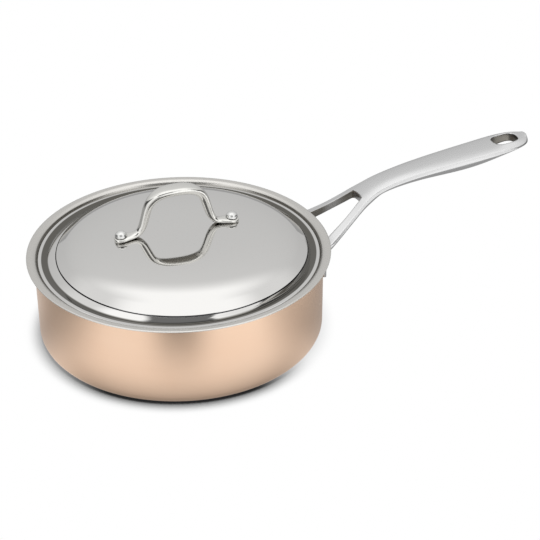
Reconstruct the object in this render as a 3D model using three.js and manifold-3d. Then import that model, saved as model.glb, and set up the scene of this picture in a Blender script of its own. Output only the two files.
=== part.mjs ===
// Saute pan with a copper outside, a flared steel rim, a long forked handle and a drop-in domed lid.
// Millimetres, +Z up. The origin is the centre of the base's underside and the long handle points along +X.

import * as THREE from 'three';
import { mergeVertices } from 'three/addons/utils/BufferGeometryUtils.js';
import Module from 'manifold-3d';

const wasm = await Module();
wasm.setup();

// Pan body
const TURN_STEPS = 60; // facets round every large turned piece
const WALL_R = 122.5; // outside of the copper wall
const BASE_FILLET = 7; // rounding where the wall meets the base
const FILLET_STEPS = 3;
const COPPER_PLY = 0.8;
const CORE_PLY = 1.2;
const STEEL_PLY = 0.8;
const PLY_GAP = 0.1; // stands for the bond between two plies
const COPPER_TOP = 71.8; // the copper stops just under the rim
const CORE_TOP = 64.3;
const RIM_R = 129; // outer edge of the flared rim
const RIM_Z = 74.6; // crest of the rim

// Long handle, with stations given along +X
const HANDLE_TIP = 348;
const ARM_START = 116; // the arms run into the wall here and are trimmed to the bracket
const FORK_END = 182; // the fork's solid ends inside the grip
const FORK_STEPS = 10;
const GRIP_START = 176;
const CROTCH = 174.5; // outer end of the triangular window
const CROTCH_HALF = 6.5;
const ARM_DEPTH = 6.5;
const GRIP_STEP = 12; // spacing of the grip's sections
const CROWN = 1.6; // how much the grip's top swells between its edges
const CROWN_FROM = 166; // the swell begins here
const CROWN_FULL = 220; // and is full from here on
const TIP_FROM = 326; // the grip is widest here and then rounds off to its tip
const TIP_HALF = 15;
const TIP_STEPS = 5;
const TIP_TURN = 82; // degrees of the round end that the sections cover
const SLOT_FROM = 314; // hanging slot
const SLOT_TO = 339;
const SLOT_HALF = 8.6;
const SLOT_CORNER = 7.5;

// Bracket and rivets that fix the handle to the wall
const FIT = 0.3; // gap between pieces that touch
const BRACKET_THICK = 3.6;
const BRACKET_LOW = 34;
const BRACKET_HIGH = 62;
const BRACKET_HALF = 43;
const BRACKET_CORNER = 7;
const RIVET_ANGLES = [-15, -9, 9, 15]; // degrees round the wall from the handle
const RIVET_Z = 45;
const RIVET_SHANK_R = 2.4;
const RIVET_HEAD_R = 4.8;
const RIVET_HEAD_H = 2.2;
const INSIDE_CLEAR = 0.5; // the heads inside the pan stand this far off the curved wall
const SMALL_STEPS = 12; // facets round a rivet

// Lid
const LID_TURN = -6; // degrees, the strap lies a little off the line of the handle
const LID_SHEET = 1;
const DOME_R = 105.7;
const DOME_BASE = 72;
const DOME_RISE = 22;
const DOME_STEPS = 8;
const LIP_R = 119.85;
const LIP_Z = 70.4;

// Strap handle on the lid, with stations given from the lid's axis
const STRAP_RIVET_U = 48.2;
const STRAP_STEPS = 44;
const STRAP_THICK = 4.8; // over the arch
const LUG_THICK = 3;
const THIN_FROM = 24; // the strap thins between these two stations
const THIN_TO = 42;
const PAD_U = 21; // the wide pad ends here
const PAD_HALF = 5.7;
const PAD_TAPER = 6;
const LEG_HALF = 4.2;
const LUG_HALF = 5.6;
const LUG_TAPER = 10;
const LID_HEAD_R = 5.1;
const LID_HEAD_H = 4;
const LID_HEAD_SEAT = 3.9; // the head sits on the lug, this far above the dome
const LID_SHANK_R = 2.2;
const LID_TAIL_R = 4;
const LID_TAIL_H = 1.4;

// Cutting and trimming shapes run past the pieces that they cut
const REACH_LOW = -20;
const REACH_HIGH = 220;
const SIDE_REACH = 60;
const WALL_DRILL = 20;
const LID_DRILL = 8;

const rad = THREE.MathUtils.degToRad;
const point = (x, y) => new THREE.Vector2(x, y);

function finish(color, roughness) {
  return new THREE.MeshStandardMaterial({ color, roughness, metalness: 1 });
}

const copper = finish(0xc99b7c, 0.35);
const aluminium = finish(0xb9bbbd, 0.5);
const rimSteel = finish(0xc4c4c2, 0.25);
const lidSteel = finish(0xcdcdcb, 0.08);
const castSteel = finish(0xc8c8c6, 0.3);
const strapSteel = finish(0xcbcbc9, 0.2);
const rivetSteel = finish(0xd2d2d0, 0.2);

// A closed solid of a geometry, ready to be joined or cut
function solidOf(geometry) {
  const bare = geometry.clone();
  bare.deleteAttribute('normal');
  bare.deleteAttribute('uv');
  const merged = mergeVertices(bare, 1e-4);
  const index = merged.index.array;
  const kept = [];
  for (let i = 0; i < index.length; i += 3) {
    const [a, b, c] = [index[i], index[i + 1], index[i + 2]];
    if (a !== b && b !== c && c !== a) {
      kept.push(a, b, c);
    }
  }
  const vertProperties = new Float32Array(merged.attributes.position.array);
  const triVerts = new Uint32Array(kept);
  return new wasm.Manifold(new wasm.Mesh({ numProp: 3, vertProperties, triVerts }));
}

function geometryOf(solid) {
  const mesh = solid.getMesh();
  const geometry = new THREE.BufferGeometry();
  const positions = new Float32Array(mesh.vertProperties);
  geometry.setAttribute('position', new THREE.BufferAttribute(positions, 3));
  geometry.setIndex(new THREE.BufferAttribute(new Uint32Array(mesh.triVerts), 1));
  return geometry;
}

function meshOf(name, solid, material) {
  const mesh = new THREE.Mesh(geometryOf(solid), material);
  mesh.name = name;
  return mesh;
}

// A profile of (radius, height) points turned round the Z axis
function turned(profile, steps) {
  return new THREE.LatheGeometry(profile, steps).rotateX(Math.PI / 2);
}

function rod(radius, from, to, steps) {
  return turned([point(0, from), point(radius, from), point(radius, to), point(0, to)], steps);
}

function arc(cx, cy, r, fromDeg, toDeg, steps) {
  const points = [];
  for (let i = 0; i <= steps; i++) {
    const a = rad(fromDeg + (toDeg - fromDeg) * i / steps);
    points.push(point(cx + r * Math.cos(a), cy + r * Math.sin(a)));
  }
  return points;
}

// A rectangle with round corners
function roundedBox(left, right, low, high, corner) {
  const steps = 4;
  return [
    ...arc(right - corner, high - corner, corner, 0, 90, steps),
    ...arc(left + corner, high - corner, corner, 90, 180, steps),
    ...arc(left + corner, low + corner, corner, 180, 270, steps),
    ...arc(right - corner, low + corner, corner, 270, 360, steps),
  ];
}

// Outline in plan, extruded upwards past the whole pan
function plan(outline) {
  const depth = REACH_HIGH - REACH_LOW;
  const extruded = new THREE.ExtrudeGeometry(new THREE.Shape(outline), { depth, bevelEnabled: false });
  return extruded.translate(0, 0, REACH_LOW);
}

// Outline in the XZ plane, extruded across Y
function sideView(outline) {
  const depth = 2 * SIDE_REACH;
  const extruded = new THREE.ExtrudeGeometry(new THREE.Shape(outline), { depth, bevelEnabled: false });
  return extruded.translate(0, 0, -SIDE_REACH).rotateX(Math.PI / 2);
}

// Outline in the YZ plane, extruded along +X
function endView(outline) {
  const depth = REACH_HIGH;
  const extruded = new THREE.ExtrudeGeometry(new THREE.Shape(outline), { depth, bevelEnabled: false });
  const across = new THREE.Vector3(0, 1, 0);
  const up = new THREE.Vector3(0, 0, 1);
  const along = new THREE.Vector3(1, 0, 0);
  return extruded.applyMatrix4(new THREE.Matrix4().makeBasis(across, up, along));
}

// The lower corner of the body at a depth measured in from the copper's outside
function baseCorner(depth) {
  return arc(WALL_R - BASE_FILLET, BASE_FILLET, BASE_FILLET - depth, -90, 0, FILLET_STEPS);
}

// A cup-shaped ply lying between two depths
function plyProfile(outside, inside, top) {
  return [
    point(0, outside),
    ...baseCorner(outside),
    point(WALL_R - outside, top),
    point(WALL_R - inside, top),
    ...baseCorner(inside).reverse(),
    point(0, inside),
  ];
}

const coreOutside = COPPER_PLY + PLY_GAP;
const coreInside = coreOutside + CORE_PLY;
const steelOutside = coreInside + PLY_GAP;
const steelInside = steelOutside + STEEL_PLY;

// The inner ply flares above the core, carries the lid's lip and turns out into the rim
function linerProfile() {
  const outer = WALL_R - steelOutside;
  const inner = WALL_R - steelInside;
  const flareOutside = [
    point(outer, RIM_Z - 9.8),
    point(outer + 0.4, RIM_Z - 6),
    point(outer + 1, RIM_Z - 3.4),
    point(outer + 1.2, RIM_Z - 2.6),
  ];
  const rimUnderside = [
    point(WALL_R + 0.1, RIM_Z - 1.7),
    point(WALL_R + 2.5, RIM_Z - 1.3),
    point(RIM_R - 0.4, RIM_Z - 2),
  ];
  const rimTop = [
    point(RIM_R, RIM_Z - 1.6),
    point(RIM_R, RIM_Z - 1),
    point(RIM_R - 0.6, RIM_Z - 0.5),
    point(RIM_R - 3.8, RIM_Z),
    point(WALL_R - 0.1, RIM_Z - 0.4),
    point(WALL_R - 1.3, RIM_Z - 1.6),
  ];
  const flareInside = [
    point(inner + 1, RIM_Z - 3.8),
    point(inner + 0.4, RIM_Z - 6.2),
    point(inner, RIM_Z - 8.6),
  ];
  return [
    point(0, steelOutside),
    ...baseCorner(steelOutside),
    ...flareOutside,
    ...rimUnderside,
    ...rimTop,
    ...flareInside,
    ...baseCorner(steelInside).reverse(),
    point(0, steelInside),
  ];
}

// Handle curves: half-width in plan, height of the top edges and depth of the section
const armOutside = new THREE.SplineCurve([
  point(ARM_START, 38), point(135, 29.6), point(155, 21.2), point(175, 14.6), point(186, 12.3),
]);
const gripHalf = new THREE.SplineCurve([
  point(GRIP_START, 14.2), point(186, 12.3), point(200, 11.5),
  point(245, 12.7), point(290, 14.2), point(TIP_FROM, TIP_HALF),
]);
const topEdge = new THREE.SplineCurve([
  point(ARM_START, 56.5), point(135, 63.8), point(155, 74.2), point(175, 85.8), point(190, 91.7),
  point(215, 96.9), point(260, 100.9), point(305, 103.3), point(HANDLE_TIP, 105.4),
]);
const gripDepth = new THREE.SplineCurve([
  point(GRIP_START, 6.5), point(200, 7.2), point(245, 9.6),
  point(275, 11.4), point(310, 8.8), point(HANDLE_TIP, 5),
]);

// The height of a curve at a station, found by bisection on its rising first coordinate
function heightAt(curve, x) {
  const halvings = 30;
  let low = 0;
  let high = 1;
  for (let i = 0; i < halvings; i++) {
    const mid = (low + high) / 2;
    if (curve.getPoint(mid).x < x) {
      low = mid;
    } else {
      high = mid;
    }
  }
  return curve.getPoint((low + high) / 2).y;
}

// Half-width of the grip, drawn in to a round end over the last stretch
function gripHalfAt(x) {
  if (x <= TIP_FROM) {
    return heightAt(gripHalf, x);
  }
  const t = (x - TIP_FROM) / (HANDLE_TIP - TIP_FROM);
  return TIP_HALF * Math.pow(1 - Math.pow(t, 2.6), 1 / 2.2);
}

// One section of the grip: a crowned top between two edges and a rounded belly
function gripSection(x) {
  const half = gripHalfAt(x);
  const top = heightAt(topEdge, x);
  const depth = heightAt(gripDepth, x);
  const swell = CROWN * half / TIP_HALF * THREE.MathUtils.smoothstep(x, CROWN_FROM, CROWN_FULL);
  const section = [];
  for (const s of [1, 0.5, 0, -0.5, -1]) {
    section.push(new THREE.Vector3(x, s * half, top + swell * (1 - s * s)));
  }
  for (const deg of [200, 225, 250, 270, 290, 315, 340]) {
    const a = rad(deg);
    section.push(new THREE.Vector3(x, half * Math.cos(a), top + depth * Math.sin(a)));
  }
  return section;
}

// A skin over a row of sections with the same number of points, closed at both ends
function loft(sections) {
  const count = sections[0].length;
  const vertices = sections.flat();
  const triangles = [];
  for (let i = 0; i + 1 < sections.length; i++) {
    for (let j = 0; j < count; j++) {
      const a = i * count + j;
      const b = i * count + (j + 1) % count;
      triangles.push(a, b, a + count, b, b + count, a + count);
    }
  }
  const last = (sections.length - 1) * count;
  for (let j = 1; j + 1 < count; j++) {
    triangles.push(0, j + 1, j, last, last + j, last + j + 1);
  }
  const geometry = new THREE.BufferGeometry().setFromPoints(vertices);
  geometry.setIndex(triangles);
  return geometry;
}

function gripSolid() {
  const stations = [];
  for (let x = GRIP_START; x < TIP_FROM - GRIP_STEP / 2; x += GRIP_STEP) {
    stations.push(x);
  }
  for (let i = 0; i <= TIP_STEPS; i++) {
    stations.push(TIP_FROM + (HANDLE_TIP - TIP_FROM) * Math.sin(rad(TIP_TURN * i / TIP_STEPS)));
  }
  return solidOf(loft(stations.map(gripSection)));
}

// The two arms: a Y in plan, kept between the top edge and a parallel underside
function forkSolid() {
  const outside = armOutside.getPoints(FORK_STEPS).filter((p) => p.x < FORK_END);
  outside.push(point(FORK_END, heightAt(armOutside, FORK_END)));
  const inside = [
    point(ARM_START, 28.5),
    point(135, 20.4),
    point(153.4, 14.8),
    point(CROTCH - 3, CROTCH_HALF + 1.4),
    point(CROTCH - 0.8, CROTCH_HALF - 0.6),
    point(CROTCH, CROTCH_HALF - 3),
  ];
  const mirror = (p) => point(p.x, -p.y);
  const outline = [
    ...outside,
    ...outside.map(mirror).reverse(),
    ...inside.map(mirror),
    ...[...inside].reverse(),
  ];
  const stations = [];
  for (let i = 0; i <= FORK_STEPS; i++) {
    stations.push(ARM_START + (FORK_END - ARM_START) * i / FORK_STEPS);
  }
  const upper = stations.map((x) => point(x, heightAt(topEdge, x)));
  const lower = upper.map((p) => point(p.x, p.y - ARM_DEPTH));
  const side = sideView([...lower, ...upper.reverse()]);
  return solidOf(plan(outline)).intersect(solidOf(side));
}

// A curved plate that lies against the wall and joins the two arms
function bracketSolid() {
  const inner = WALL_R + FIT;
  const outer = inner + BRACKET_THICK;
  const ring = turned([
    point(inner, BRACKET_LOW),
    point(outer, BRACKET_LOW),
    point(outer, BRACKET_HIGH),
    point(inner, BRACKET_HIGH),
    point(inner, BRACKET_LOW),
  ], TURN_STEPS);
  const outline = roundedBox(-BRACKET_HALF, BRACKET_HALF, BRACKET_LOW, BRACKET_HIGH, BRACKET_CORNER);
  return solidOf(ring).intersect(solidOf(endView(outline)));
}

function handleSolid() {
  const wall = rod(WALL_R + FIT, REACH_LOW, REACH_HIGH, TURN_STEPS);
  const slot = roundedBox(SLOT_FROM, SLOT_TO, -SLOT_HALF, SLOT_HALF, SLOT_CORNER);
  const arms = forkSolid().subtract(solidOf(wall));
  return arms.add(gripSolid()).add(bracketSolid()).subtract(solidOf(plan(slot)));
}

// A low domed head, a quarter of an ellipse in section
function domedHead(headR, headH, base, sign) {
  return [0, 20, 50, 90].map((deg) => {
    const a = rad(deg);
    return point(headR * Math.cos(a), base + sign * headH * Math.sin(a));
  });
}

// Lays a turned piece along +X and carries it round the wall
function aroundWall(geometry, deg) {
  return geometry.rotateY(Math.PI / 2).rotateZ(rad(deg)).translate(0, 0, RIVET_Z);
}

function wallRivet(deg) {
  const insideSeat = WALL_R - steelInside - INSIDE_CLEAR;
  const outsideSeat = WALL_R + 2 * FIT + BRACKET_THICK;
  const profile = [
    ...domedHead(RIVET_HEAD_R, RIVET_HEAD_H, insideSeat, -1).reverse(),
    point(RIVET_SHANK_R, insideSeat),
    point(RIVET_SHANK_R, outsideSeat),
    ...domedHead(RIVET_HEAD_R, RIVET_HEAD_H, outsideSeat, 1),
  ];
  return solidOf(aroundWall(turned(profile, SMALL_STEPS), deg));
}

function drilledWall(solid) {
  let drilled = solid;
  for (const deg of RIVET_ANGLES) {
    const drill = rod(RIVET_SHANK_R + FIT, WALL_R - WALL_DRILL, WALL_R + WALL_DRILL, SMALL_STEPS);
    drilled = drilled.subtract(solidOf(aroundWall(drill, deg)));
  }
  return drilled;
}

// Lid: half an ellipse for the dome, then a channel and a flat lip that rests in the rim's flare
function lidProfile() {
  const under = [];
  const over = [];
  for (let i = 0; i <= DOME_STEPS; i++) {
    const a = rad(90 * i / DOME_STEPS);
    const [c, s] = [Math.cos(a), Math.sin(a)];
    over.push(point(DOME_R * c, DOME_BASE + DOME_RISE * s));
    under.push(point((DOME_R - LID_SHEET) * c, DOME_BASE + (DOME_RISE - LID_SHEET) * s));
  }
  const channelOver = [
    point(LIP_R, LIP_Z), point(116.8, LIP_Z), point(115.4, 69.2), point(114.2, 67.5),
    point(112, 66.8), point(109.8, 67.5), point(107.2, 70),
  ];
  const channelUnder = [
    point(106.3, 69.5), point(109.2, 66.6), point(112, 65.8), point(115, 66.7),
    point(116.3, 68.6), point(117.1, LIP_Z - LID_SHEET), point(LIP_R, LIP_Z - LID_SHEET),
  ];
  return [...under.reverse(), ...channelUnder, ...channelOver, ...over];
}

// The strap's middle line in its own upright plane, from lug to lug
function strapLine() {
  const half = [
    point(53.8, 93.2), point(42, 94.5), point(35, 96.4), point(30.6, 104),
    point(28, 113), point(25.6, 120.5), point(20.6, 127.2), point(9.5, 130.9),
  ];
  const mirrored = half.map((p) => point(-p.x, p.y)).reverse();
  return new THREE.SplineCurve([...half, point(0, 131.5), ...mirrored]);
}

// The strap seen from above: a wide pad, narrower legs and round lugs
function strapOutline() {
  const right = [
    point(PAD_U, PAD_HALF),
    point(PAD_U + PAD_TAPER, LEG_HALF),
    point(STRAP_RIVET_U - LUG_TAPER, LEG_HALF),
    ...arc(STRAP_RIVET_U, 0, LUG_HALF, 120, -120, 10),
    point(STRAP_RIVET_U - LUG_TAPER, -LEG_HALF),
    point(PAD_U + PAD_TAPER, -LEG_HALF),
    point(PAD_U, -PAD_HALF),
  ];
  const left = right.map((p) => point(-p.x, -p.y));
  return [...right, ...left].reverse();
}

function strapSolid() {
  const line = strapLine();
  const over = [];
  const under = [];
  for (let i = 0; i <= STRAP_STEPS; i++) {
    const p = line.getPoint(i / STRAP_STEPS);
    const along = line.getTangent(i / STRAP_STEPS);
    const normal = point(along.y, -along.x);
    const thin = THREE.MathUtils.smoothstep(Math.abs(p.x), THIN_FROM, THIN_TO);
    const half = THREE.MathUtils.lerp(STRAP_THICK, LUG_THICK, thin) / 2;
    over.push(point(p.x + half * normal.x, p.y + half * normal.y));
    under.push(point(p.x - half * normal.x, p.y - half * normal.y));
  }
  const side = sideView([...over, ...under.reverse()]);
  return solidOf(plan(strapOutline())).intersect(solidOf(side));
}

// Height and outward lean of the dome at the strap's rivets
const rivetShare = STRAP_RIVET_U / DOME_R;
const rivetDrop = Math.sqrt(1 - rivetShare * rivetShare);
const rivetDomeZ = DOME_BASE + DOME_RISE * rivetDrop;
const rivetLean = Math.atan(DOME_RISE * rivetShare / (DOME_R * rivetDrop));

function onDome(geometry, side) {
  return geometry.rotateY(side * rivetLean).translate(side * STRAP_RIVET_U, 0, rivetDomeZ);
}

function lidRivet(side) {
  const underSeat = -LID_SHEET - FIT;
  const profile = [
    point(0, underSeat - LID_TAIL_H),
    point(LID_TAIL_R * 0.85, underSeat - LID_TAIL_H),
    point(LID_TAIL_R, underSeat),
    point(LID_SHANK_R, underSeat),
    point(LID_SHANK_R, LID_HEAD_SEAT),
    ...domedHead(LID_HEAD_R, LID_HEAD_H, LID_HEAD_SEAT, 1),
  ];
  return solidOf(onDome(turned(profile, SMALL_STEPS), side));
}

function drilledLid(solid) {
  let drilled = solid;
  for (const side of [-1, 1]) {
    const drill = rod(LID_SHANK_R + FIT, -LID_DRILL, LID_DRILL, SMALL_STEPS);
    drilled = drilled.subtract(solidOf(onDome(drill, side)));
  }
  return drilled;
}

function turnedSolid(profile) {
  return solidOf(turned(profile, TURN_STEPS));
}

const pan = new THREE.Group();
const copperProfile = plyProfile(0, COPPER_PLY, COPPER_TOP);
const coreProfile = plyProfile(coreOutside, coreInside, CORE_TOP);
pan.add(meshOf('copper_shell', drilledWall(turnedSolid(copperProfile)), copper));
pan.add(meshOf('aluminium_core', drilledWall(turnedSolid(coreProfile)), aluminium));
pan.add(meshOf('steel_liner', drilledWall(turnedSolid(linerProfile())), rimSteel));
pan.add(meshOf('long_handle', drilledWall(handleSolid()), castSteel));
RIVET_ANGLES.forEach((deg, i) => {
  pan.add(meshOf(`handle_rivet_${i + 1}`, wallRivet(deg), rivetSteel));
});

const lid = new THREE.Group();
lid.rotation.z = rad(LID_TURN);
lid.add(meshOf('lid_shell', drilledLid(turnedSolid(lidProfile())), lidSteel));
lid.add(meshOf('lid_strap', drilledLid(strapSolid()), strapSteel));
lid.add(meshOf('lid_rivet_left', lidRivet(-1), rivetSteel));
lid.add(meshOf('lid_rivet_right', lidRivet(1), rivetSteel));

const sautePan = new THREE.Group();
sautePan.add(pan, lid);

export default sautePan;
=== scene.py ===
import math

import bmesh
import bpy
from mathutils import Matrix, Vector


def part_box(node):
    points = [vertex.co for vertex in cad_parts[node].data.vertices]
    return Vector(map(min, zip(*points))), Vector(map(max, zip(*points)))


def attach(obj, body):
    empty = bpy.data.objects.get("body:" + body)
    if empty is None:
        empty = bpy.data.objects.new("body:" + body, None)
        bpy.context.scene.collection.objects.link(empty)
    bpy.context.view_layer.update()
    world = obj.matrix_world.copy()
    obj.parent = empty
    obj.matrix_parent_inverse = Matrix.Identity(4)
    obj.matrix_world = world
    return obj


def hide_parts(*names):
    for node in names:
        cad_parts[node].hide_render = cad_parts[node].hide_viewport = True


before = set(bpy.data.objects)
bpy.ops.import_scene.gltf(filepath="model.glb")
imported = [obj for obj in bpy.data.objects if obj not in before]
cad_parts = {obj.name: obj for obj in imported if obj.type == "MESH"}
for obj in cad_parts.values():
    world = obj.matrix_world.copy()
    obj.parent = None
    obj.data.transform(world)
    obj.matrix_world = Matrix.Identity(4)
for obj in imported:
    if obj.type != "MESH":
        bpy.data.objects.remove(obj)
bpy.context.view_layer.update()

MM = 0.001  # sizes below are in millimetres, and meshes in metres


def far_corner(node):
    """The highest corner of a CAD node, in millimetres"""
    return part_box(node)[1] / MM


# Camera at the photograph's viewing angle, in metres and degrees
CAMERA_AT = (-0.4108, -1.0167, 0.7208)
CAMERA_DOWN = 31.43
CAMERA_HEADING = 26.03  # from +Y towards +X
CAMERA_LENS = 99.8

# Level directions away from the camera and to its right
VIEW_TURN = math.radians(22)
BEHIND = Vector((math.sin(VIEW_TURN), math.cos(VIEW_TURN), 0))
BESIDE = Vector((BEHIND.y, -BEHIND.x, 0))

# Pan body
WALL_R = far_corner("copper_shell").x
COPPER_TOP = far_corner("copper_shell").z
RIM_R = far_corner("steel_liner").x
RIM_Z = far_corner("steel_liner").z
BASE_FILLET = 7
COPPER_PLY = 0.8
STEEL_OUTSIDE = 2.2  # depth of the steel's outer face behind the copper's
STEEL_INSIDE = 3.0
TURN_STEPS = 192  # facets round a large turned piece
SPAN = 4  # longest stretch of a profile between two rings
SHARP_FOLD = math.radians(40)  # a turned piece stays crisp where it folds more than this

# Lid
LID_TURN = math.radians(-6)
LID_SHEET = 1
DOME_R = 105.7
DOME_BASE = 70.6
DOME_RISE = 22
DOME_POWER = 3.5  # 2 would be an ellipse; more is flatter in the middle
DOME_STEPS = 48
DOME_EDGE = 99.5  # from here the dome falls straight to the crease
EDGE_FALL = 0.717
DOME_SHIFT = BESIDE * 2.6 - BEHIND * 1.5  # how far the dome was pressed off the middle of its lip
CREASE_R = 106.6  # pressed line between the dome and its channel
CREASE_HALF = 0.38
CREASE_Z = 74.1
CHANNEL_R = 111  # lowest line of the channel
CHANNEL_Z = 70.4
LIP_START = 116.7  # the channel has risen to the flat lip here
LIP_R = far_corner("lid_shell").x
LIP_Z = 71.6

# Strap on the lid
STRAP_SHIFT = -1.3  # it sits a little off the lid's middle
LUG_LEAN = math.radians(6)
LUG_TOP = 4  # top of a lug above the dome
STRAP_RIVET_U = 48.2
STRAP_SHANK_R = 2.2
STRAP_HEAD_R = 5.3
STRAP_HEAD_RISE = 4.6

# Bracket and wall rivets
FIT = 0.3
BRACKET_THICK = 3.6
BRACKET_LOW = 34
BRACKET_HIGH = 62
BRACKET_HALF = 43
BRACKET_END_RISE = 2.5  # its two ends sit higher and are thicker
BRACKET_END_SWELL = 1.6
RIVET_ANGLES = (-15, -9, 9, 15)
RIVET_Z = 45
WALL_SHANK_R = 2.4
WALL_HEAD_R = 4.8
WALL_HEAD_RISE = 2.2

# Handle
ARM_ROOT = (123, 30, 56)  # where an arm grows from the bracket
ARM_DEPTH = 6.5
ARM_FALL = 1.2  # drop of an arm's outer edge, whose top leans outwards
ARM_FALL_START = 150  # from here the lean fades out
ARM_FALL_LENGTH = 40
ARM_BULGE = 0.8  # of its outer side, below the top edge by SHOULDER_DROP
ARM_TUCK = 0.4  # of its outer top and bottom edges
SHOULDER_DROP = 2.4
FORK_START = 130
FORK_HALF = 22.6  # half the window's width where it starts
FORK_TAPER = 0.354
CROTCH = 173
CROWN = 2.6  # rise of the grip's middle above its edges
CROWN_LEAST = 0.3  # share of it on the arms
CROWN_START = 140
CROWN_LENGTH = 62
SLOT_START = 312.3
SLOT_END = 338.5
SLOT_X = (SLOT_START + SLOT_END) / 2
SLOT_OVAL = (14, 10.4)  # half-axes of an oval just round the slot
GRIP_SLOPE = 0.05  # rise of the grip's top along it
SLOT_TOP = 89.6  # height of the slot's top edge, taken back along that slope to the pan's axis
ARM_STATIONS = (130, 140, 152, 164, 170, CROTCH, 182)
GRIP_STATIONS = (190, 202, 220, 240, 262, 284, 302, SLOT_START, SLOT_X, SLOT_END, 345.2, 347.9)

# Curves of the handle, from points of (distance from the pan's axis, size)
TOP_EDGE = [
    (116, 56.5), (135, 63.8), (155, 74.2), (175, 85.8), (190, 91.7),
    (215, 96.9), (260, 100.9), (305, 103.3), (348, 105.4),
]
ARM_OUTSIDE = [(116, 38), (135, 29.6), (155, 21.2), (175, 14.6), (186, 12.3)]
ARM_INSIDE = [(116, 28.5), (135, 20.4), (153.4, 14.8), (171.5, 7.9), (182, 6)]
GRIP_HALF = [
    (176, 14.2), (186, 12.3), (200, 11.5), (245, 12.7), (290, 14.2),
    (326, 15.4), (333, 14.9), (338.5, 13.2), (345.2, 8.4), (347.9, 4.2),
]
GRIP_DEPTH = [(176, 6.5), (200, 7.2), (245, 9.4), (275, 11.6), (300, 10), (326, 5.8), (348, 4.4)]
SLOT_HALF = [(176, 6), (215, 5.6), (290, 6.6), (312, 8.6), (338, 8.6), (345, 5), (347.9, 3)]

# Surroundings
FLOOR_HALF = 6  # in metres
CONTACT = 22  # reach of the shadow where the base meets the floor
POOL_BRIGHT = 1.12  # light on the floor in front of the pan
POOL_DIM = 0.44
WALL_SHADE = 42  # width of the shade on the floor along the wall


# Shapes

def share_of(value, start, length):
    """How much of a length a value has gone past its start, from 0 to 1"""
    return min(max((value - start) / length, 0), 1)


def rounded(corners, steps=6):
    """Points of a profile whose corners (radius, height, rounding) are rounded off by arcs"""
    points = []
    for i, (r, z, rounding) in enumerate(corners):
        here = Vector((r, z))
        if not rounding:
            points.append(here)
            continue
        before = (Vector(corners[i - 1][:2]) - here).normalized()
        after = (Vector(corners[i + 1][:2]) - here).normalized()
        half = before.angle(after) / 2
        centre = here + (before + after).normalized() * rounding / math.sin(half)
        first = here + before * rounding / math.tan(half) - centre
        last = here + after * rounding / math.tan(half) - centre
        turn = first.angle(last)
        for k in range(steps + 1):
            share = k / steps
            a = math.sin((1 - share) * turn) / math.sin(turn)
            b = math.sin(share * turn) / math.sin(turn)
            points.append(centre + first * a + last * b)
    return points


def turned(profile, steps=TURN_STEPS):
    """A profile of (radius, height) points in millimetres, spun round the Z axis"""
    bm = bmesh.new()
    line = [bm.verts.new((p[0] * MM, 0, p[1] * MM)) for p in profile]
    for a, b in zip(line, line[1:]):
        bm.edges.new((a, b))
    for edge in bm.edges[:]:
        cuts = int(edge.calc_length() / (SPAN * MM))
        if cuts:
            bmesh.ops.bisect_edges(bm, edges=[edge], cuts=cuts)
    bmesh.ops.spin(
        bm, geom=bm.verts[:] + bm.edges[:], cent=(0, 0, 0), axis=(0, 0, 1),
        angle=2 * math.pi, steps=steps, use_merge=True,
    )
    bmesh.ops.remove_doubles(bm, verts=bm.verts[:], dist=1e-6)
    bmesh.ops.recalc_face_normals(bm, faces=bm.faces[:])
    return bm


def drawn_on(bm, corners, places):
    """Extrudes the faces on these corners, and moves the new corners to places in millimetres"""
    faces = [f for f in bm.faces if set(f.verts) <= set(corners)]
    on_solid = not any(e.is_boundary for f in faces for e in f.edges)
    made = bmesh.ops.extrude_face_region(bm, geom=faces)["geom"]
    fresh = [v for v in made if isinstance(v, bmesh.types.BMVert)]
    new = [min(fresh, key=lambda v: (v.co - old.co).length) for old in corners]
    if on_solid:
        bmesh.ops.delete(bm, geom=faces, context="FACES")
    for vert, place in zip(new, places):
        vert.co = Vector(place) * MM
    return new


def creased(bm, most, low, high):
    """Creases a cage's edges by how far they fold, in degrees, and leaves upright ones round"""
    layer = bm.edges.layers.float.new("crease_edge")
    for edge in bm.edges:
        way = (edge.verts[0].co - edge.verts[1].co).normalized()
        if abs(way.z) < 0.8:
            edge[layer] = most * share_of(math.degrees(edge.calc_face_angle(0)), low, high - low)


def curve_at(points, x):
    """The height of a smooth curve through points with rising x"""
    i = 0
    while i < len(points) - 2 and x > points[i + 1][0]:
        i += 1
    (x0, y0), (x1, y1) = points[i], points[i + 1]
    before = points[max(i - 1, 0)]
    after = points[min(i + 2, len(points) - 1)]
    t = (x - x0) / (x1 - x0)
    m0 = (y1 - before[1]) / (x1 - before[0]) * (x1 - x0)
    m1 = (after[1] - y0) / (after[0] - x0) * (x1 - x0)
    rise = 3 * t * t - 2 * t ** 3
    return y0 * (1 - rise) + y1 * rise + m0 * (t - 2 * t * t + t ** 3) + m1 * (t ** 3 - t * t)


def spline(rows, steps):
    """Rows of numbers along a smooth line through the given rows, with steps between two of them"""
    line = []
    last = len(rows) - 1
    for i in range(last):
        before, a, b, after = (Vector(rows[min(max(i + k, 0), last)]) for k in (-1, 0, 1, 2))
        for k in range(steps):
            t = k / steps
            line.append(
                a + (b - before) * (t / 2)
                + (before * 2 - a * 5 + b * 4 - after) * (t * t / 2)
                + (a * 3 - before - b * 3 + after) * (t ** 3 / 2)
            )
    return line + [Vector(rows[-1])]


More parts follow.
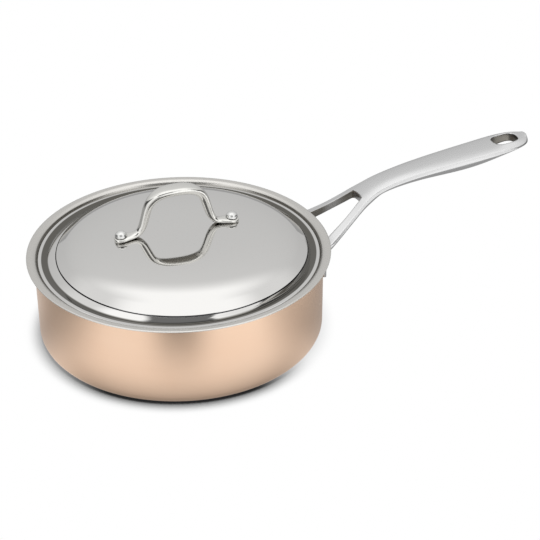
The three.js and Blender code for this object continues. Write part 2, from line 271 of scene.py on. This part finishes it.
def piece_of(name, bm, material, body, node, levels=0):
    """A finished piece: shaded smooth, riding on its body and standing for its CAD node"""
    mesh = bpy.data.meshes.new(name)
    bm.to_mesh(mesh)
    bm.free()
    mesh.shade_smooth()
    mesh.materials.append(material)
    piece = bpy.data.objects.new(name, mesh)
    bpy.context.scene.collection.objects.link(piece)
    if levels:
        subdivision = piece.modifiers.new("smooth casting", "SUBSURF")
        subdivision.levels = levels
        subdivision.render_levels = levels
    else:
        mesh.set_sharp_from_angle(angle=SHARP_FOLD)
    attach(piece, body)
    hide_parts(node)
    return piece


# Materials

def colour(code):
    """Linear colour of an sRGB hex value"""
    parts = [int(code[i:i + 2], 16) / 255 for i in (1, 3, 5)]
    linear = [p / 12.92 if p <= 0.04045 else ((p + 0.055) / 1.055) ** 2.4 for p in parts]
    return (*linear, 1)


def feed(tree, node, inputs):
    """Gives a node's inputs values, or links from sockets or from other nodes' main outputs"""
    for key, value in inputs.items():
        if isinstance(value, bpy.types.Node):
            value = next(out for out in value.outputs if out.enabled)
        if isinstance(value, bpy.types.NodeSocket):
            tree.links.new(value, node.inputs[key])
        else:
            node.inputs[key].default_value = value


def add(tree, kind, inputs, **settings):
    """Adds a node with its settings and links"""
    node = tree.nodes.new(kind)
    for key, value in settings.items():
        setattr(node, key, value)
    feed(tree, node, inputs)
    return node


def patch(tree, *edges):
    """A patch with soft edges: the product of smooth steps, each given as
    (value, start, end, low, high) and going from low to high between start and end"""
    strength = 1.0
    for value, start, end, low, high in edges:
        step = add(
            tree, "ShaderNodeMapRange",
            {"Value": value, "From Min": start, "From Max": end, "To Min": low, "To Max": high},
            interpolation_type="SMOOTHSTEP",
        )
        strength = add(tree, "ShaderNodeMath", {0: strength, 1: step}, operation="MULTIPLY")
    return strength


def dimmed(tree, light, *edges):
    """Light with a soft-edged patch taken out of it"""
    left = add(tree, "ShaderNodeMath", {0: 1.0, 1: patch(tree, *edges)}, operation="SUBTRACT")
    return add(tree, "ShaderNodeMath", {0: light, 1: left}, operation="MULTIPLY")


def brightened(tree, light, *edges):
    """Light with a soft-edged patch added to it"""
    return add(tree, "ShaderNodeMath", {0: light, 1: patch(tree, *edges)}, operation="ADD")


def off_axis(tree, place):
    """A place's offset from the Z axis, and its distance"""
    offset = add(tree, "ShaderNodeVectorMath", {0: place, 1: (1, 1, 0)}, operation="MULTIPLY")
    return offset, add(tree, "ShaderNodeVectorMath", {0: offset}, operation="LENGTH")


def uneven(tree, where, scale, detail, low, high):
    """A roughness that wanders between two values, by noise that keeps to about 0.3 to 0.7"""
    noise = add(tree, "ShaderNodeTexNoise", {"Vector": where, "Scale": scale, "Detail": detail})
    return add(
        tree, "ShaderNodeMapRange",
        {"Value": noise, "From Min": 0.3, "From Max": 0.7, "To Min": low, "To Max": high},
    )


def turned_lines(tree, place, pitch, length):
    """Coordinates whose noise draws lines round the Z axis, of a pitch and a length in millimetres"""
    offset, reach = off_axis(tree, place)
    spoke = add(tree, "ShaderNodeVectorMath", {0: offset}, operation="NORMALIZE")
    height = add(tree, "ShaderNodeSeparateXYZ", {0: place}).outputs["Z"]
    across = add(tree, "ShaderNodeMath", {0: reach, 1: height}, operation="ADD")
    rings = add(tree, "ShaderNodeMath", {0: across, 1: 1 / (pitch * MM)}, operation="MULTIPLY")
    lifted = add(tree, "ShaderNodeCombineXYZ", {"Z": rings})
    around = WALL_R / length
    return add(
        tree, "ShaderNodeVectorMath", {0: spoke, 1: (around, around, around), 2: lifted},
        operation="MULTIPLY_ADD",
    )


def ring_tangent(tree, place):
    """The direction round the Z axis, along which a turned piece was brushed"""
    around = add(tree, "ShaderNodeVectorMath", {0: (0, 0, 1), 1: place}, operation="CROSS_PRODUCT")
    return add(tree, "ShaderNodeVectorMath", {0: around}, operation="NORMALIZE")


def metal(name):
    """A bare metal: its node tree, its shader and the place on the piece in metres"""
    material = bpy.data.materials.new(name)
    material.use_nodes = True
    tree = material.node_tree
    shader = tree.nodes["Principled BSDF"]
    shader.inputs["Metallic"].default_value = 1
    return material, tree, shader, add(tree, "ShaderNodeTexCoord", {}).outputs["Object"]


def satin_copper():
    # Copper sheet, spun and brushed round its axis: broad soft highlights that run up the wall.
    # The brushing lines are drawn coarser than real ones, so that they show
    material, tree, shader, place = metal("satin_brushed_copper")
    lines = turned_lines(tree, place, pitch=0.8, length=30)
    clouds = add(tree, "ShaderNodeTexNoise", {"Vector": place, "Scale": 1 / (40 * MM), "Detail": 2})
    tint = add(
        tree, "ShaderNodeMix", {"Factor": clouds, "A": colour("#e8c6ab"), "B": colour("#eaccb3")},
        data_type="RGBA",
    )
    feed(tree, shader, {
        "Base Color": tint,
        "Roughness": uneven(tree, lines, scale=1, detail=2, low=0.30, high=0.36),
        "Anisotropic": 0.6,
        "Anisotropic Rotation": 0.25,
        "Tangent": ring_tangent(tree, place),
    })
    return material


def rim_steel():
    # Stainless steel, polished inside the pan and satin on the rim, with fine turning lines,
    # drawn coarser than real ones so that they show
    material, tree, shader, place = metal("turned_stainless_steel")
    lines = turned_lines(tree, place, pitch=0.8, length=40)
    # Painted shade: in the bend below the rim the wall is painted a darker grey, standing in for
    # the shade under the lid's lip, and painted less dark at the back
    reach = off_axis(tree, place)[1]
    height = add(tree, "ShaderNodeSeparateXYZ", {0: place}).outputs["Z"]
    back = add(tree, "ShaderNodeVectorMath", {0: place, 1: BEHIND}, operation="DOT_PRODUCT")
    bend_painted_shade = patch(
        tree,
        (reach, (WALL_R - 1.6) * MM, (WALL_R - 0.8) * MM, 1, 0),
        (height, (RIM_Z - 8) * MM, (RIM_Z - 5) * MM, 0, 1),
        (back, 80 * MM, 118 * MM, 1, 0.2),
    )
    tone = add(
        tree, "ShaderNodeMix", {"Factor": bend_painted_shade, "A": colour("#c9c7c3"), "B": colour("#706d67")},
        data_type="RGBA",
    )
    feed(tree, shader, {
        "Base Color": tone,
        "Roughness": uneven(tree, lines, scale=1, detail=2, low=0.22, high=0.28),
        "Anisotropic": 0.4,
        "Anisotropic Rotation": 0.25,
        "Tangent": ring_tangent(tree, place),
    })
    return material


def lid_steel():
    # Stainless sheet, mirror polished: it shows the room, with a faint haze of fine scratches
    material, tree, shader, place = metal("mirror_polished_steel")
    # Painted shade: the channel's outer side is painted darker
    offset, reach = off_axis(tree, place)
    channel = patch(
        tree,
        (reach, (CHANNEL_R - 0.6) * MM, (CHANNEL_R + 0.4) * MM, 0, 1),
        (reach, (LIP_START - 0.5) * MM, (LIP_START + 0.1) * MM, 1, 0),
    )
    channel_painted_shade = add(
        tree, "ShaderNodeMix", {"Factor": channel, "A": colour("#cfcecc"), "B": colour("#62605b")},
        data_type="RGBA",
    )
    # Painted shade: the pressed crease round the dome is painted dark
    from_dome = add(tree, "ShaderNodeVectorMath", {0: offset, 1: DOME_SHIFT * MM}, operation="SUBTRACT")
    dome_reach = add(tree, "ShaderNodeVectorMath", {0: from_dome}, operation="LENGTH")
    crease_painted_shade = add(
        tree, "ShaderNodeMath", {0: dome_reach, 1: CREASE_R * MM, 2: CREASE_HALF * MM},
        operation="COMPARE",
    )
    tone = add(
        tree, "ShaderNodeMix", {"Factor": crease_painted_shade, "A": channel_painted_shade, "B": colour("#454547")},
        data_type="RGBA",
    )
    feed(tree, shader, {
        "Base Color": tone,
        "Roughness": uneven(tree, place, scale=1 / (15 * MM), detail=4, low=0.04, high=0.07),
    })
    return material


def fork_and_slot_painted_shade(tree, place):
    """Painted shade: a darker mask inside the fork's window and the hanging slot"""
    parts = add(tree, "ShaderNodeSeparateXYZ", {0: place})
    along = parts.outputs["X"]
    aside = add(tree, "ShaderNodeMath", {0: parts.outputs["Y"]}, operation="ABSOLUTE")
    tapered = add(
        tree, "ShaderNodeMath", {0: along, 1: FORK_TAPER, 2: aside}, operation="MULTIPLY_ADD",
    )
    fork_edge = (FORK_HALF + FORK_TAPER * FORK_START) * MM
    fork = patch(
        tree,
        (tapered, fork_edge, fork_edge + 0.6 * MM, 1, 0),
        (along, (CROTCH - 1) * MM, (CROTCH - 0.4) * MM, 1, 0),
        (along, (FORK_START - 3) * MM, FORK_START * MM, 0, 1),
    )
    from_slot = add(
        tree, "ShaderNodeVectorMath", {0: place, 1: (SLOT_X * MM, 0, 0)}, operation="SUBTRACT",
    )
    shares = (1 / (SLOT_OVAL[0] * MM), 1 / (SLOT_OVAL[1] * MM), 0)
    oval = add(tree, "ShaderNodeVectorMath", {0: from_slot, 1: shares}, operation="MULTIPLY")
    reach = add(tree, "ShaderNodeVectorMath", {0: oval}, operation="LENGTH")
    level = add(
        tree, "ShaderNodeMath", {0: along, 1: -GRIP_SLOPE, 2: parts.outputs["Z"]},
        operation="MULTIPLY_ADD",
    )
    slot = patch(tree, (reach, 1, 1.06, 1, 0), (level, (SLOT_TOP - 0.4) * MM, SLOT_TOP * MM, 1, 0))
    return add(tree, "ShaderNodeMath", {0: fork, 1: slot}, operation="MAXIMUM")


def cast_steel():
    # Stainless casting, ground and then satin polished along its length: soft streaks, drawn
    # coarser than real ones so that they show, with painted shade inside the fork and the slot
    material, tree, shader, place = metal("satin_cast_steel")
    grain = (1 / (25 * MM), 1 / (0.8 * MM), 1 / (0.8 * MM))
    drawn = add(tree, "ShaderNodeMapping", {"Vector": place, "Scale": grain})
    tone = add(
        tree, "ShaderNodeMix",
        {"Factor": fork_and_slot_painted_shade(tree, place), "A": colour("#cbcbcb"), "B": colour("#77746e")},
        data_type="RGBA",
    )
    feed(tree, shader, {
        "Base Color": tone,
        "Roughness": uneven(tree, drawn, scale=1, detail=2, low=0.24, high=0.30),
    })
    return material


def strap_steel():
    # Stainless casting, buffed bright, with painted shade on its underside, which is painted darker
    material, tree, shader, place = metal("buffed_cast_steel")
    normal = add(tree, "ShaderNodeTexCoord", {}).outputs["Normal"]
    facing = add(tree, "ShaderNodeSeparateXYZ", {0: normal}).outputs["Z"]
    underside_painted_shade = patch(tree, (facing, -0.9, -0.6, 1, 0))
    tone = add(
        tree, "ShaderNodeMix", {"Factor": underside_painted_shade, "A": colour("#d6d5d1"), "B": colour("#8f8c85")},
        data_type="RGBA",
    )
    feed(tree, shader, {
        "Base Color": tone,
        "Roughness": uneven(tree, place, scale=1 / (4 * MM), detail=3, low=0.10, high=0.16),
    })
    return material


def rivet_steel():
    # Stainless wire, headed cold and polished: small bright domes with a slight haze
    material, tree, shader, place = metal("headed_rivet_steel")
    feed(tree, shader, {
        "Base Color": colour("#d6d6d4"),
        "Roughness": uneven(tree, place, scale=1 / (2 * MM), detail=3, low=0.24, high=0.32),
    })
    return material


def rolled_aluminium():
    # Aluminium sheet between the copper and the steel, with the dull streaks of rolling
    material, tree, shader, place = metal("rolled_aluminium")
    grain = (1 / (40 * MM), 1 / (1.5 * MM), 1 / (1.5 * MM))
    drawn = add(tree, "ShaderNodeMapping", {"Vector": place, "Scale": grain})
    feed(tree, shader, {
        "Base Color": colour("#c9cacc"),
        "Roughness": uneven(tree, drawn, scale=1, detail=2, low=0.4, high=0.55),
    })
    return material


# Pieces

def copper_body(material):
    profile = rounded([
        (0, 0, 0),
        (WALL_R, 0, BASE_FILLET),
        (WALL_R, COPPER_TOP, 0.2),
        (WALL_R - COPPER_PLY, COPPER_TOP, 0.2),
        (WALL_R - COPPER_PLY, COPPER_PLY, BASE_FILLET - COPPER_PLY),
        (0, COPPER_PLY, 0),
    ])
    return piece_of("copper_body", turned(profile), material, "pan", "copper_shell")


def steel_lining(material):
    outer = WALL_R - STEEL_OUTSIDE
    inner = WALL_R - STEEL_INSIDE
    profile = rounded([
        (0, STEEL_OUTSIDE, 0),
        (outer, STEEL_OUTSIDE, BASE_FILLET - STEEL_OUTSIDE),
        (outer, RIM_Z - 9, 8),
        (outer + 1.3, RIM_Z - 1.8, 1),
        (WALL_R + 2.5, RIM_Z - 1, 4),
        (RIM_R - 0.3, RIM_Z - 1, 0.2),
        (RIM_R, RIM_Z - 0.5, 0.3),
        (RIM_R - 1.2, RIM_Z, 0.8),
        (WALL_R - 1.2, RIM_Z - 0.1, 5),
        (inner, RIM_Z - 6.3, 6),
        (inner, STEEL_INSIDE, BASE_FILLET - STEEL_INSIDE),
        (0, STEEL_INSIDE, 0),
    ])
    return piece_of("steel_lining", turned(profile), material, "pan", "steel_liner")


def dome_height(reach):
    """Height of the dome at a distance from the lid's axis"""
    return DOME_BASE + DOME_RISE * math.sqrt(1 - (reach / DOME_R) ** DOME_POWER)


def dome_line(drop):
    """Points of the dome from its edge to the middle, lowered by a thickness"""
    wide = DOME_R - drop
    first = math.acos((DOME_EDGE / wide) ** (DOME_POWER / 2))
    angles = [first + (math.pi / 2 - first) * k / DOME_STEPS for k in range(DOME_STEPS + 1)]
    return [
        (wide * abs(math.cos(a)) ** (2 / DOME_POWER), DOME_BASE + (DOME_RISE - drop) * math.sin(a))
        for a in angles
    ]


def lid_dome(material):
    edge_z = dome_height(DOME_EDGE)
    fall = [
        (r, edge_z - (r - DOME_EDGE) * EDGE_FALL, 0)
        for r in (CREASE_R - CREASE_HALF, CREASE_R - 0.7)
    ]
    # From under the crease along the underside to the lip, and back on top
    channel = rounded([
        (CREASE_R - 0.6, CREASE_Z - 0.2, 0),
        (CREASE_R + 0.2, CREASE_Z - 1.1, 0.4),
        (CHANNEL_R + 0.2, CHANNEL_Z - 1.4, 1.6),
        (LIP_START - 0.1, LIP_Z - LID_SHEET, 0.8),
        (LIP_R - 0.9, LIP_Z - LID_SHEET, 0.3),
        (LIP_R + 0.2, LIP_Z - 1.9, 0.2),
        (LIP_R + 0.3, LIP_Z - 1.2, 0.2),
        (LIP_R - 0.7, LIP_Z - 0.1, 0.4),
        (LIP_START, LIP_Z, 0.5),
        (CHANNEL_R + 0.6, CHANNEL_Z, 0.8),
        (CREASE_R + CREASE_HALF, CREASE_Z + 0.6, 0.1),
        (CREASE_R, CREASE_Z, 0.1),
        *fall,
    ])
    bm = turned(dome_line(LID_SHEET)[::-1] + channel + dome_line(0))
    # The shift of the dome fades out between the crease and the channel's lowest line
    fade = CHANNEL_R - CREASE_R - CREASE_HALF
    for vert in bm.verts:
        vert.co += DOME_SHIFT * MM * share_of(-vert.co.xy.length, -CHANNEL_R * MM, fade * MM)
    return piece_of("lid_dome", bm, material, "lid", "lid_shell")


def domed_head(radius, height, seat):
    """Half the outline of a domed rivet head above its seat"""
    steps = 8
    angles = [math.pi / 2 * k / steps for k in range(steps + 1)]
    return [(radius * math.cos(a), seat + height * math.sin(a)) for a in angles]


def wall_rivet(number, degrees, material):
    inside = WALL_R - STEEL_INSIDE - FIT
    outside = WALL_R + FIT + BRACKET_THICK
    inner_head = [(r, 2 * inside - z) for r, z in domed_head(WALL_HEAD_R, WALL_HEAD_RISE, inside)]
    shank = [(WALL_SHANK_R, inside), (WALL_SHANK_R, outside)]
    outer_head = domed_head(WALL_HEAD_R, WALL_HEAD_RISE, outside)
    bm = turned(inner_head[::-1] + shank + outer_head, steps=32)
    laid = Matrix.Rotation(math.pi / 2, 4, "Y")
    round_wall = Matrix.Rotation(math.radians(degrees), 4, "Z")
    lifted = Matrix.Translation((0, 0, RIVET_Z * MM))
    bmesh.ops.transform(bm, matrix=lifted @ round_wall @ laid, verts=bm.verts[:])
    node = f"handle_rivet_{number}"
    return piece_of(f"wall_rivet_{number}", bm, material, "pan", node)


def strap_rivet(side, word, material):
    tail = [(0, -2.7), (3.2, -2.7), (3.8, -2), (4, -1.2)]  # spread flat under the sheet
    shank = [(STRAP_SHANK_R, -1.2), (STRAP_SHANK_R, LUG_TOP)]
    head = domed_head(STRAP_HEAD_R, STRAP_HEAD_RISE, LUG_TOP)
    bm = turned(tail + shank + head, steps=40)
    leaning = Matrix.Rotation(side * LUG_LEAN, 4, "Y")
    seat = Vector((side * STRAP_RIVET_U + STRAP_SHIFT, 0, dome_height(STRAP_RIVET_U)))
    out = Matrix.Translation(seat * MM)
    with_lid = Matrix.Rotation(LID_TURN, 4, "Z")
    bmesh.ops.transform(bm, matrix=with_lid @ out @ leaning, verts=bm.verts[:])
    return piece_of(f"strap_rivet_{word}", bm, material, "lid", f"lid_rivet_{word}")


def strap_handle(material):
    # Rows from a lug to the middle: place along the strap, height, half-width, half-thickness,
    # how much of the width is flat on top, since the legs are round bars, and how many
    # half-thicknesses the underside lies below the middle
    half = [
        (54.4, 92.8, 2.4, 1.8, 0.9, 1.1),
        (52.4, 93.1, 5.2, 2.2, 0.9, 1.1),
        (48.2, 93.6, 6.4, 2.2, 0.9, 1.1),
        (43.4, 94.1, 5.6, 2.2, 0.9, 1.1),
        (38.4, 94.7, 4.6, 2.2, 0.7, 1.1),
        (33.6, 96.8, 4, 2.4, 0.55, 1.4),
        (30.4, 102.6, 3.7, 2.7, 0.5, 1.7),
        (27.6, 112.4, 3.7, 2.8, 0.5, 1.8),
        (24.8, 121, 4.1, 2.9, 0.55, 1.8),
        (18.6, 127.7, 5.8, 3.1, 0.85, 1.7),
        (9.5, 131, 7.1, 3.1, 0.92, 1.7),
    ]
    middle_row = (0, 131.5, 7.3, 3.1, 0.92, 1.7)
    other_half = [(-u, *rest) for u, *rest in half[::-1]]
    stations = spline(half + [middle_row] + other_half, steps=2)
    bm = bmesh.new()
    corners = None
    for i, (u, z, wide, thick, flat, deep) in enumerate(stations):
        before = stations[max(i - 1, 0)]
        after = stations[min(i + 1, len(stations) - 1)]
        along = Vector((after[0] - before[0], 0, after[1] - before[1])).normalized()
        out = Vector((along.z, 0, -along.x)) * thick
        across = Vector((0, wide, 0))
        middle = Vector((u + STRAP_SHIFT, 0, z))
        section = [
            (-flat, 1), (flat, 1), (1.1, -0.1), (0.75, -deep), (-0.75, -deep), (-1.1, -0.1),
        ]
        places = [middle + across * a + out * b for a, b in section]
        if corners is None:
            corners = [bm.verts.new(p * MM) for p in places]
            bm.faces.new(corners)
        else:
            corners = drawn_on(bm, corners, places)
    bmesh.ops.recalc_face_normals(bm, faces=bm.faces[:])
    with_lid = Matrix.Rotation(LID_TURN, 3, "Z")
    bmesh.ops.rotate(bm, verts=bm.verts[:], cent=(0, 0, 0), matrix=with_lid)
    return piece_of("strap_handle", bm, material, "lid", "lid_strap", levels=3)


def bracket_plate(bm):
    """The curved plate against the wall, as a closed grid of faces"""
    columns = [-BRACKET_HALF, -35, -26, -12, 12, 26, 35, BRACKET_HALF]
    rows = [BRACKET_LOW, 43, 52.6, 59, BRACKET_HIGH]
    bmesh.ops.create_grid(bm, x_segments=len(columns) - 1, y_segments=len(rows) - 1, size=1)
    made = bmesh.ops.extrude_face_region(bm, geom=bm.faces[:])["geom"]
    outside = {v for v in made if isinstance(v, bmesh.types.BMVert)}
    for vert in bm.verts:
        y = columns[round((vert.co.x + 1) / 2 * (len(columns) - 1))]
        z = rows[round((vert.co.y + 1) / 2 * (len(rows) - 1))]
        reach = WALL_R + FIT + (BRACKET_THICK if vert in outside else 0)
        if abs(y) == BRACKET_HALF:
            z += BRACKET_END_RISE
            reach += BRACKET_END_SWELL if vert in outside else 0
        angle = math.asin(y / (WALL_R + BRACKET_THICK))
        vert.co = Vector((reach * math.cos(angle), reach * math.sin(angle), z)) * MM


def crown_at(x):
    """Rise of the handle's middle above its edges, which grows from the fork to the grip"""
    return CROWN * max(share_of(x, CROWN_START, CROWN_LENGTH), CROWN_LEAST)


def arm_section(x, side):
    """Corners of an arm: inner low and top, outer top, shoulder and low"""
    top = curve_at(TOP_EDGE, x)
    low = top - ARM_DEPTH
    edge = top - ARM_FALL * (1 - share_of(x, ARM_FALL_START, ARM_FALL_LENGTH))
    inside = side * curve_at(ARM_INSIDE, x)
    outside = side * curve_at(ARM_OUTSIDE, x)
    return [
        (x, inside, low),
        (x, inside, top + crown_at(x)),
        (x, outside - side * ARM_TUCK, edge),
        (x, outside + side * ARM_BULGE, edge - SHOULDER_DROP),
        (x, outside - side * ARM_TUCK, low),
    ]


def grip_section(x):
    """Corners of the grip, for each side in the order of an arm's. They stand a little outside
    its real sizes, because a subdivided cage shrinks"""
    top = curve_at(TOP_EDGE, x)
    half = curve_at(GRIP_HALF, x) * 1.02
    depth = curve_at(GRIP_DEPTH, x)
    slot = curve_at(SLOT_HALF, x)
    bottom = max(slot, 0.56 * half)
    corners = []
    for side in (-1, 1):
        corners += [
            (x, side * bottom, top - 1.16 * depth),
            (x, side * slot, top + crown_at(x)),
            (x, side * (half + 0.3), top),
            (x, side * (half + 1.3), top - 0.36 * depth),
            (x, side * max(0.84 * half, bottom + 1), top - 0.95 * depth),
        ]
    return corners


def arm_foot(bm, side):
    """The face of the bracket that an arm grows from"""
    x, y, z = ARM_ROOT
    root = Vector((x, side * y, z)) * MM
    return min(bm.faces, key=lambda f: (f.calc_center_median() - root).length)


def fork_arms(bm):
    """Draws both arms out of the bracket, and gives the last two sections of each"""
    outer_edges = [
        max(arm_foot(bm, side).edges, key=lambda e: side * (e.verts[0].co.y + e.verts[1].co.y))
        for side in (-1, 1)
    ]
    bmesh.ops.bisect_edges(bm, edges=outer_edges, cuts=1)
    ends = []
    for side in (-1, 1):
        foot = arm_foot(bm, side)
        corners = sorted(foot.verts, key=lambda v: (round(side * v.co.y, 4), v.co.z))
        corners = corners[:2] + corners[:1:-1]  # in the order of an arm's section
        for x in ARM_STATIONS:
            before = corners
            corners = drawn_on(bm, corners, arm_section(x, side))
        ends.append((before, corners))
    return ends


def joined_arms(bm, ends):
    """Makes the arms one solid section behind the window, and gives its corners"""
    rings = []
    for before, corners in ends:
        inner = set(before[:2] + corners[:2])
        wall = [f for f in bm.faces if set(f.verts) == inner]
        bmesh.ops.delete(bm, geom=wall, context="FACES_ONLY")
        ring = [before[0], before[1], corners[1], corners[0]]
        rings += [bm.edges.get((a, b)) for a, b in zip(ring, ring[1:] + ring[:1])]
    bmesh.ops.bridge_loops(bm, edges=rings)
    return [corner for before, corners in ends for corner in corners]


def hanging_slot(bm):
    """Opens the slot through the grip"""
    faces = []
    for face in bm.faces:
        middle = face.calc_center_median()
        if SLOT_START * MM < middle.x < SLOT_END * MM and abs(middle.y) < MM:
            faces.append(face)
    bmesh.ops.delete(bm, geom=faces, context="FACES")
    bmesh.ops.bridge_loops(bm, edges=[e for e in bm.edges if e.is_boundary])


def cast_handle(material):
    bm = bmesh.new()
    bracket_plate(bm)
    section = joined_arms(bm, fork_arms(bm))
    for x in GRIP_STATIONS:
        section = drawn_on(bm, section, grip_section(x))
    hanging_slot(bm)
    bmesh.ops.recalc_face_normals(bm, faces=bm.faces[:])
    creased(bm, most=0.6, low=30, high=55)
    return piece_of("cast_handle", bm, material, "pan", "long_handle", levels=3)


# Surroundings

def white_table():
    """White to the camera, while the metal sees a pool of light on it. Distances are in metres"""
    material = bpy.data.materials.new("white_table")
    material.use_nodes = True
    tree = material.node_tree
    tree.nodes.clear()
    place = add(tree, "ShaderNodeTexCoord", {}).outputs["Object"]
    away = add(tree, "ShaderNodeVectorMath", {0: place}, operation="LENGTH")
    back = add(tree, "ShaderNodeVectorMath", {0: place, 1: BEHIND}, operation="DOT_PRODUCT")
    side = add(tree, "ShaderNodeVectorMath", {0: place, 1: BESIDE}, operation="DOT_PRODUCT")
    # A narrow shadow lies where the base meets the table, weaker at the left and behind
    contact = add(tree, "ShaderNodeAmbientOcclusion", {"Distance": CONTACT * MM}, samples=16)
    back_right = add(tree, "ShaderNodeMath", {0: back, 1: side}, operation="ADD")
    white = dimmed(
        tree, 1.0,
        (contact.outputs["AO"], 0.38, 0.86, 0.98, 0),
        (back_right, -0.05, 0.05, 1, 0.2),
        (side, -0.115, -0.06, 0.7, 1),
    )
    # The pool lies in front of the pan and is dim at the sides and behind
    off_middle = add(tree, "ShaderNodeMath", {0: side, 1: 0.008}, operation="ADD")
    aside = add(tree, "ShaderNodeMath", {0: off_middle}, operation="ABSOLUTE")
    outwards = add(tree, "ShaderNodeMath", {0: aside, 1: back}, operation="ADD")
    pool = patch(tree, (outwards, -0.02, 0.15, POOL_BRIGHT, POOL_DIM))
    # It is shaded close to the wall, and again where the camera stands
    pool = dimmed(
        tree, pool,
        (away, WALL_R * MM, (WALL_R + WALL_SHADE) * MM, 0.66, 0),
        (back, -0.05, -0.11, 0, 1),
    )
    pool = dimmed(tree, pool, (aside, 0.02, 0.1, 1, 0), (back, -0.18, -0.237, 0, 0.95))
    # It is brighter under the grip, and close to the pan at its back left
    pool = brightened(tree, pool, (side, 0.22, 0.28, 0, 1), (back, 0.01, 0.08, 1, 0))
    pool = brightened(
        tree, pool,
        (side, -0.08, -0.13, 0, 0.3),
        (back, -0.02, 0.05, 0, 1),
        (away, 0.17, 0.22, 1, 0),
    )
    seen = add(tree, "ShaderNodeEmission", {"Strength": white})
    mirrored = add(tree, "ShaderNodeEmission", {"Strength": pool})
    to_camera = add(tree, "ShaderNodeLightPath", {}).outputs["Is Camera Ray"]
    both = add(tree, "ShaderNodeMixShader", {0: to_camera, 1: mirrored, 2: seen})
    add(tree, "ShaderNodeOutputMaterial", {"Surface": both})
    return material


def pale_floor(material):
    bm = bmesh.new()
    bmesh.ops.create_grid(bm, x_segments=1, y_segments=1, size=FLOOR_HALF)
    mesh = bpy.data.meshes.new("floor")
    bm.to_mesh(mesh)
    bm.free()
    mesh.materials.append(material)
    floor = bpy.data.objects.new("floor", mesh)
    bpy.context.scene.collection.objects.link(floor)


def studio():
    """A white tent with a grey backdrop behind the pan, seen by the metal, and white to the camera.
    Directions have the length 1"""
    world = bpy.data.worlds.new("studio")
    bpy.context.scene.world = world
    world.use_nodes = True
    tree = world.node_tree
    tree.nodes.clear()
    way = add(tree, "ShaderNodeTexCoord", {}).outputs["Generated"]
    up = add(tree, "ShaderNodeSeparateXYZ", {0: way}).outputs["Z"]
    back = add(tree, "ShaderNodeVectorMath", {0: way, 1: BEHIND}, operation="DOT_PRODUCT")
    side = add(tree, "ShaderNodeVectorMath", {0: way, 1: BESIDE}, operation="DOT_PRODUCT")
    aside = add(tree, "ShaderNodeMath", {0: side}, operation="ABSOLUTE")
    tent = patch(tree, (up, 0.25, 0.55, 1.2, 1.5))
    # The tent is dimmer towards its sides above the pan
    tent = dimmed(tree, tent, (aside, 0.2, 0.65, 0, 0.3), (back, -0.15, 0.1, 0, 1))
    # A dark gap in the tent in front of the pan, where the camera stands
    tent = dimmed(
        tree, tent,
        (up, 0.42, 0.47, 0, 1),
        (up, 0.84, 0.88, 1, 0),
        (aside, 0.34, 0.44, 0.85, 0),
        (back, -0.2, -0.3, 0, 1),
    )
    backdrop = add(
        tree, "ShaderNodeMapRange",
        {"Value": up, "From Min": -0.2, "From Max": 0.85, "To Min": 0.63, "To Max": 0.93},
    )
    around = add(
        tree, "ShaderNodeMix",
        {"Factor": patch(tree, (back, 0.3, 0.6, 0, 1)), "A": tent, "B": backdrop},
        data_type="FLOAT",
    )
    # Black cloths hang at both sides, lower towards the back, and draw dark edges on bright metal
    hem = add(tree, "ShaderNodeMath", {0: back, 1: 0.55, 2: up}, operation="MULTIPLY_ADD")
    around = dimmed(
        tree, around,
        (aside, 0.56, 0.64, 0, 0.88),
        (hem, 0.44, 0.5, 1, 0),
        (back, 0.55, 0.65, 1, 0),
        (back, -0.45, -0.35, 0, 1),
    )
    to_camera = add(tree, "ShaderNodeLightPath", {}).outputs["Is Camera Ray"]
    strength = add(
        tree, "ShaderNodeMix", {"Factor": to_camera, "A": around, "B": 1.0}, data_type="FLOAT",
    )
    light = add(tree, "ShaderNodeBackground", {"Color": (1, 1, 1, 1), "Strength": strength})
    add(tree, "ShaderNodeOutputWorld", {"Surface": light})


def camera():
    data = bpy.data.cameras.new("camera")
    data.lens = CAMERA_LENS
    view = bpy.data.objects.new("camera", data)
    view.location = CAMERA_AT
    view.rotation_euler = (math.radians(90 - CAMERA_DOWN), 0, math.radians(-CAMERA_HEADING))
    bpy.context.scene.collection.objects.link(view)
    bpy.context.scene.camera = view


camera()
pale_floor(white_table())
studio()
bpy.context.scene.view_settings.view_transform = "Standard"

copper_body(satin_copper())
steel_lining(rim_steel())
cast_handle(cast_steel())
rivets = rivet_steel()
for number, degrees in enumerate(RIVET_ANGLES, 1):
    wall_rivet(number, degrees, rivets)
lid_dome(lid_steel())
strap_handle(strap_steel())
for side, word in ((-1, "left"), (1, "right")):
    strap_rivet(side, word, rivets)
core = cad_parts["aluminium_core"]
core.data.materials.clear()
core.data.materials.append(rolled_aluminium())
